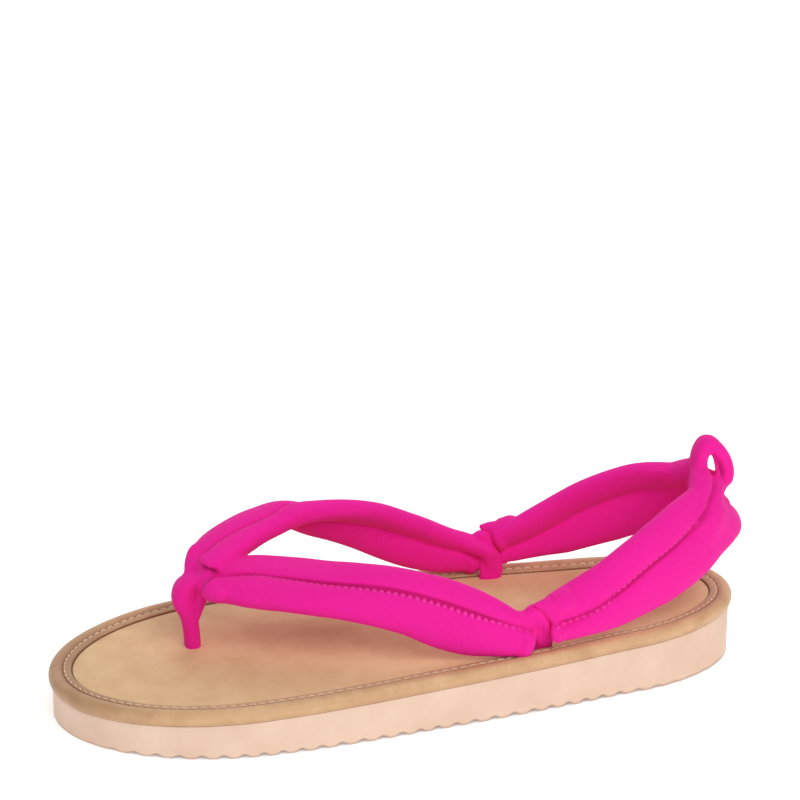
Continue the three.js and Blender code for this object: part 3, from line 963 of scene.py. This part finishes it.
# Fills and folds of the heel strap and its pull loop, as above.
HEEL_TIP = [(34.8, 41.2, 19.2, 1.1), (34.6, 43.3, 18.5, 2.4), (34.2, 45.4, 17.6, 3.6),
            (33.7, 46.8, 17.1, 4.4), (33.0, 52.0, 18.0, 4.8)]
HEEL_CORNER = [(36.4, 47.8, 10.4, 1.6), (36.8, 47.6, 8.2, 1.7), (36.8, 47.6, 6.0, 1.4)]
LOOP_ROOT = [(1.6, 112.6, 48.5, 3.0), (4.6, 111.8, 45.6, 4.0), (9.0, 110.4, 42.6, 4.5),
             (14.5, 107.6, 39.2, 4.4), (20.0, 103.6, 35.2, 3.6)]
LOOP_LIP = [(3.0, 117.5, 52.0, 0.9), (3.2, 118.6, 49.0, 1.1), (3.8, 119.2, 44.8, 1.4),
            (4.6, 118.6, 40.6, 2.6)]
LOOP_CROTCH = [(3.0, 112.6, 51.0, 1.6), (3.2, 113.7, 47.4, 2.0), (3.5, 115.4, 42.2, 2.5)]
LOOP_FILL = [(8.6, 117.8, 40.6, 2.8), (11.8, 116.0, 39.1, 3.6), (13.9, 113.7, 37.9, 3.7),
             (15.8, 111.4, 36.6, 3.7), (18.6, 107.4, 34.6, 3.2)]
LOOP_HEM = [(4.6, 118.4, 39.6, 2.2), (8.6, 117.0, 36.6, 3.8), (13.8, 114.4, 34.2, 5.0),
            (19.2, 109.4, 31.6, 4.4)]
LOOP_MIDDLE = (0, 112.0, 43.0)
HEM_SLOPES = [(9.0, 120.5, 37.0), (14.0, 115.5, 37.0), (15.5, 119.5, 33.0), (20.0, 111.5, 32.5)]
LOOP_FOLDS = table(
    "depth width shade route",
    (1.1, 0.7, 0.9, [(3.2, 117.4, 52.6), (3.0, 119.1, 49.5), (4.0, 120.3, 45.6),
                     (5.0, 120.8, 43.2)]),
    (1.0, 1.0, 0.45, [(23.6, 102.6, 35.6), (20.4, 107.2, 37.6), (17.2, 109.6, 39.2),
                      (14.8, 111.6, 41.0), (10.6, 114.6, 43.0), (7.0, 116.4, 45.6)]),
)
# The back of the heel: a soft corner pressed in, the hollow above it and a slight ridge below,
# each from one side to the middle.
BACK_FOLDS = table(
    "depth width shade route",
    (1.6, 2.6, 0.0, [(9.0, 124.6, 32.2), (5.6, 126.0, 32.5), (2.0, 126.8, 32.6)]),
    (1.7, 2.6, 0.0, [(14.0, 117.8, 38.6), (11.4, 120.0, 38.3), (8.6, 121.6, 38.0),
                     (4.4, 123.0, 37.4), (0.0, 123.6, 36.8)]),
    (-0.5, 3.0, 0.0, [(12.0, 126.0, 25.6), (6.0, 128.6, 25.6), (0.0, 129.6, 25.6)]),
)


def make_heel_straps():
    """The strap round the heel and its pull loop: one skin, cut into its two pieces."""
    other_half = [{**row, "side": -row["side"]} for row in HEEL_HALF[-2::-1]]
    made = strap(HEEL_HALF + other_half, 240, 1)
    grids = [plumped(roll(made[name], ROLL_STEP, 44, 1.5, 1.5), made["seam"])
             for name in ("inner", "outer")]
    grids.append(roll(band(LOOP_BAND, 0, 1), 0.5, 36, 2.0, 2.0, squareness=2.6))
    grids.append(tube(LOOP_LIP))
    for rows in (LOOP_ROOT, LOOP_CROTCH, LOOP_FILL, LOOP_HEM, HEEL_TIP, HEEL_CORNER):
        grids += [tube(rows), tube(mirrored(rows))]
    skin = one_skin(grids)
    skin.relax(16, 0.6 * within(skin.points, LOOP_MIDDLE, 15))
    slopes = [within(skin.points, middle, 8.5) for middle in HEM_SLOPES + mirrored(HEM_SLOPES)]
    skin.relax(150, 0.9 * np.max(slopes, axis=0))
    skin.push(PADDING_LUMPS * wander(skin.points, 22, seed=9))
    sew(skin, made["seam"], HEEL_SEWN)
    press_folds(skin, LOOP_FOLDS, lambda route: [route, mirrored(route)])
    press_folds(skin, BACK_FOLDS, lambda route: [across_foot(route)])
    above_strap = skin.points[:, 2] - footbed(skin.points[:, 1]) > 47.5
    loop = skin.faces_where(above_strap & (np.abs(skin.points[:, 0]) < 6))
    new_piece("heel_strap_cloth", "heel_strap", skin, ~loop)
    new_piece("heel_loop_cloth", "heel_loop", skin, loop)


# ---- sole
def tread(along):
    """Height of the underside: rounded lands, a soft notch between each two, flatter at the ends."""
    unevenness = 0.6 * np.sin(along / 9)
    from_notch = ((along + unevenness) / RIPPLE_PITCH) % 1 - 0.5
    u = np.clip(np.abs(from_notch) * 2 * RIPPLE_PITCH / RIPPLE_WIDTH, 0, 1)
    depth = np.interp(along, [-118, -98, 72, 100], [0.1, RIPPLE_DEPTH, RIPPLE_DEPTH, 0.15])
    return depth * (0.5 + 0.5 * np.cos(PI * u))


def outsole_stations():
    """Places along the sole, 0.6 mm apart and closer towards the ends, where its edge turns fast."""
    half = SOLE_LENGTH / 2
    turn = np.linspace(0.012, PI - 0.012, 160)
    even = np.arange(-120, 120, 0.6)
    along = np.unique(np.round(np.concatenate([-half * np.cos(turn), even]), 2))
    apart = np.concatenate([[True], np.diff(along) > 0.2])
    return along[apart & (np.abs(along) < half - 0.003)]


OUTSOLE_EDGE = 0.03         # the lower edge's share of the foam's height


def outsole_section():
    """A section across the sole, going round it: x from -1 to 1, z from 0 (tread) to 1 (top)."""
    across = np.linspace(-1, 1, 13)
    upright = [OUTSOLE_EDGE, 0.07, 0.3, 0.6, 0.85]
    places = [(x, 0.0) for x in across] + [(1.0, z) for z in upright]
    places += [(x, 1.0) for x in across[::-1]] + [(-1.0, z) for z in upright[::-1]]
    return np.array(places).T


def make_outsole():
    """Sections across the sole, from toe to heel, with its edges bevelled."""
    along = outsole_stations()
    x, z = outsole_section()
    width, low, high = half_width(along), tread(along), sole_top(along)
    grid = np.stack([
        width[:, None] * x, np.broadcast_to(along[:, None], (len(along), len(x))),
        low[:, None] + (high - low)[:, None] * z], 2)
    # painted shade along the lower edge, deepest in the notches
    at_edge = np.select([z == 0, z == OUTSOLE_EDGE], [1.0, 0.5], 0.0)
    fold = at_edge * (0.45 + 0.55 * low[:, None] / RIPPLE_DEPTH)
    # a plain ring inside each end, so that the painted shade at the edge stays narrow there too
    inside = [end.mean(0) + 0.94 * (end - end.mean(0)) for end in (grid[0], grid[-1])]
    grid = np.concatenate([inside[:1], grid, inside[1:]])
    fold = np.pad(fold, ((1, 1), (0, 0)))
    points, faces = closed_tube(grid)
    piece = new_object("outsole_foam", points, faces, FOAM, "eva_foam",
                       fold=np.concatenate([fold.ravel(), [0, 0]]))
    bevel = piece.modifiers.new("edges", "BEVEL")
    bevel.width = 0.25 * MM
    bevel.segments = 2
    bevel.limit_method = "ANGLE"
    bevel.angle_limit = math.radians(40)
    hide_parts("outsole")


# Section of the binding. in: inwards from the foam's side. up: above the foam's top, mm.
RIM_SECTION = table(
    "in up",
    (0.4, -0.26), (-0.2, 0.0), (-0.8, 1.0), (-1.1, 2.3), (-0.9, 3.6), (-0.1, 4.7), (1.1, 5.2),
    (2.4, 5.1), (3.4, 4.5), (4.0, 4.0), (4.5, 4.3), (5.3, 4.6), (6.2, 4.5), (6.8, 4.2), (7.05, 3.4),
    (6.9, -0.2),
)
STITCH_CREASE = 3.9         # inwards from the foam's side to the crease that the stitches lie beside
STITCH_IN = 4.6             # and to the middle of the stitches
STITCH_UP = 4.6             # height of that middle above the foam's top
RIM_AROUND = 1100
TOE_BEND = -92              # in front of this, along the sole, painted shade darkens the binding


def binding_shades(inset, up, along):
    """How dark the binding is: darker in the crease and on its top; painted shade at the insole, under
    the rim, at the toe.
    """
    crease = np.exp(-((inset - STITCH_CREASE) / 0.45) ** 2) * (up > 3)
    top = np.clip((inset - 0.8) / 2.6, 0, 1) * (up > 3)
    at_insole = np.clip((inset - 6.85) / 0.15, 0, 1)
    under = np.clip((2.4 - up) / 2.4, 0, 1)
    fold = np.maximum.reduce([0.8 * crease, 0.3 * top, 0.95 * at_insole, 0.2 * under])
    at_toe = np.clip((TOE_BEND - along) / 24, 0, 1)[:, None] * (up > 0.5)
    return 1 - (1 - fold) * (1 - 0.42 * at_toe)


def make_binding():
    """The cover that wraps the sole's rim, swollen between its stitches, and those stitches."""
    ring, inwards = plan_ring(RIM_AROUND)
    t = np.linspace(0, len(RIM_SECTION) - 1, 40)
    inset = column(RIM_SECTION, "in", t)
    up = column(RIM_SECTION, "up", t)
    steps = np.linalg.norm(np.diff(ring, axis=0, append=ring[:1]), axis=1)
    at = np.concatenate([[0], np.cumsum(steps)[:-1]])
    total = steps.sum()
    stitches = round(total / BINDING_STITCH)
    phase = at / total * stitches
    # between two stitches the cover swells a little on both sides of the line
    swell = (0.5 - 0.5 * np.cos(2 * PI * phase))[:, None]
    beside = np.exp(-((inset - STITCH_IN) / 1.0) ** 2) * (up > 3)
    lift = swell * beside * 0.22
    waves = 0.12 * wander(np.column_stack([ring, 0 * at]), 26, seed=2)[:, None] * (up > 1)
    place = ring[:, None] + inwards[:, None] * inset[None, :, None]
    height = sole_top(place[..., 1]) + SEAT + (up + lift + waves)
    points = np.dstack([place, height]).reshape(-1, 3)
    faces = grid_faces(RIM_AROUND, len(t), closed=True)
    fold = binding_shades(inset, up, ring[:, 1])
    piece = new_object("rim_binding_cover", points, faces, BINDING, "binding_suede", fold=fold.ravel())
    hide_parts("rim_binding")
    make_stitches(ring, inwards, at, total, stitches)


def make_stitches(ring, inwards, at, total, stitches):
    """One short, round-ended thread for each stitch of the binding, in its groove."""
    grids = []
    # along: -1 to 1 from end to end. scale: thickness there, of the whole
    profile = [(-1.0, 0.35), (-0.8, 0.8), (-0.35, 1.0), (0.35, 1.0), (0.8, 0.8), (1.0, 0.35)]
    half_length = BINDING_STITCH * 0.4
    half_wide = 0.34
    half_high = 0.3
    sag = 0.3
    turn = np.arange(8) / 8 * 2 * PI

    def on_rim(pairs, where):
        return np.array([np.interp(where, at, pairs[:, axis], period=total) for axis in (0, 1)])
    for k in range(stitches):
        middle = (k + 0.5) / stitches * total
        rings = []
        for along, scale in profile:
            where = (middle + along * half_length) % total
            way = on_rim(inwards, where)
            centre = on_rim(ring, where) + way * STITCH_IN
            height = sole_top(centre[1]) + SEAT + STITCH_UP - sag * along ** 2
            rings.append([(*(centre + way * half_wide * scale * math.cos(a)),
                           height + half_high * scale * math.sin(a)) for a in turn])
        grids.append(np.array(rings))
    new_object("binding_stitches", *joined_tubes(grids), THREAD, "binding_suede")


# Edge of the insole. in: inwards from the binding. up: above the seat. fold: how dark.
INSOLE_EDGE = table(
    "in up fold",
    (0.25, 0.0, 0.9), (0.0, 0.5, 0.9), (-0.06, 3.2, 0.9), (-0.02, 3.45, 0.7), (0.12, 3.62, 0.2),
    (0.35, INSOLE_THICKNESS, 0.0), (2.5, INSOLE_THICKNESS, 0.0),
)


def make_insole():
    """The covered board: a plate with rounded, darker edges."""
    edge, inwards = plan_ring(480)
    rings = []
    fold = []
    for row in INSOLE_EDGE:
        place = edge + inwards * (RIM_WIDTH + SEAT + row["in"])
        rings.append(np.column_stack([place, sole_top(place[:, 1]) + SEAT + row["up"]]))
        fold.append(row["fold"])
    last = rings[-1][:, :2]
    # the rings inside these shrink towards the middle
    for share in (0.85, 0.6, 0.3):
        place = last * share
        rings.append(np.column_stack([place, sole_top(place[:, 1]) + SEAT + INSOLE_THICKNESS]))
        fold.append(0.0)
    points, faces = closed_tube(np.array(rings))
    fold = np.concatenate([np.repeat(fold, len(edge)), [fold[0], fold[-1]]])
    piece = new_object("insole_cover", points, faces, FOOTBED, "footbed_suede", fold=fold)
    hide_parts("insole")


make_outsole()
make_binding()
make_insole()
make_front_straps()
make_heel_straps()


# ---- floor, light, camera
FLOOR_GLOW = 0.42           # keeps the pale sweep white round the shoe
FLOOR_HALF = 4.0            # metres
FLOOR_DROP = 0.0002
CAMERA_AZIMUTH = math.radians(75.663)
CAMERA_ELEVATION = math.radians(21.026)
# High above the shoe, so that it is low in the frame.
CAMERA_AIM = Vector((0.0069, -0.001, 0.1097))
CAMERA_DISTANCE = 0.9
CAMERA_LENS = 117.12        # mm
SENSOR_WIDTH = 36           # mm
WORLD_STRENGTH = 0.32


def make_floor():
    """A pale floor that curves up into a backdrop far behind the shoe."""
    bend = [(2.0 + math.sin(a), 1 - math.cos(a)) for a in np.radians(range(0, 91, 10))]
    profile = [(-3.0, 0.0), *bend, (3.0, 4.0)]
    away = Vector((-math.sin(CAMERA_AZIMUTH), math.cos(CAMERA_AZIMUTH), 0))
    side = Vector((away.y, -away.x, 0))
    points = [tuple(away * d + side * s + Vector((0, 0, z - FLOOR_DROP)))
              for d, z in profile for s in (-FLOOR_HALF, FLOOR_HALF)]
    faces = [(2 * k, 2 * k + 1, 2 * k + 3, 2 * k + 2) for k in range(len(profile) - 1)]
    mesh = new_mesh("floor", points, faces)
    s = Shader("floor", Base_Color=(0.9, 0.9, 0.9, 1), Roughness=0.9, Specular_IOR_Level=0.1,
               Emission_Color=(1, 1, 1, 1), Emission_Strength=FLOOR_GLOW)
    mesh.materials.append(s.material)
    floor = add_object("floor", mesh)


def place_facing(data, azimuth, elevation, distance, aim=Vector((0, 0, 0))):
    """A lamp or camera in the scene, in a direction from its aim and facing it."""
    way = Vector((math.sin(azimuth) * math.cos(elevation),
                  -math.cos(azimuth) * math.cos(elevation), math.sin(elevation)))
    placed = add_object(data.name, data)
    placed.location = aim + way * distance
    placed.rotation_euler = way.to_track_quat("Z", "Y").to_euler()
    return placed


def make_light(name, azimuth, elevation, distance, size, power):
    """A soft square light on the shoe."""
    lamp = bpy.data.lights.new(name, "AREA")
    lamp.size = size
    lamp.energy = power
    place_facing(lamp, math.radians(azimuth), math.radians(elevation), distance)


def make_camera():
    lens = bpy.data.cameras.new("camera")
    lens.lens = CAMERA_LENS
    lens.sensor_width = SENSOR_WIDTH
    bpy.context.scene.camera = place_facing(
        lens, CAMERA_AZIMUTH, CAMERA_ELEVATION, CAMERA_DISTANCE, CAMERA_AIM)


def make_world():
    """Even white light from all round."""
    world = bpy.data.worlds.new("studio")
    world.use_nodes = True
    background = world.node_tree.nodes["Background"]
    background.inputs["Color"].default_value = (1, 1, 1, 1)
    background.inputs["Strength"].default_value = WORLD_STRENGTH
    bpy.context.scene.world = world


make_floor()
make_light("key", azimuth=106, elevation=46, distance=1.6, size=1.0, power=13)
make_light("fill", azimuth=20, elevation=35, distance=1.8, size=1.4, power=3)
make_light("rim", azimuth=250, elevation=55, distance=1.6, size=1.0, power=5)
make_camera()
make_world()
bpy.context.scene.view_settings.view_transform = "Standard"
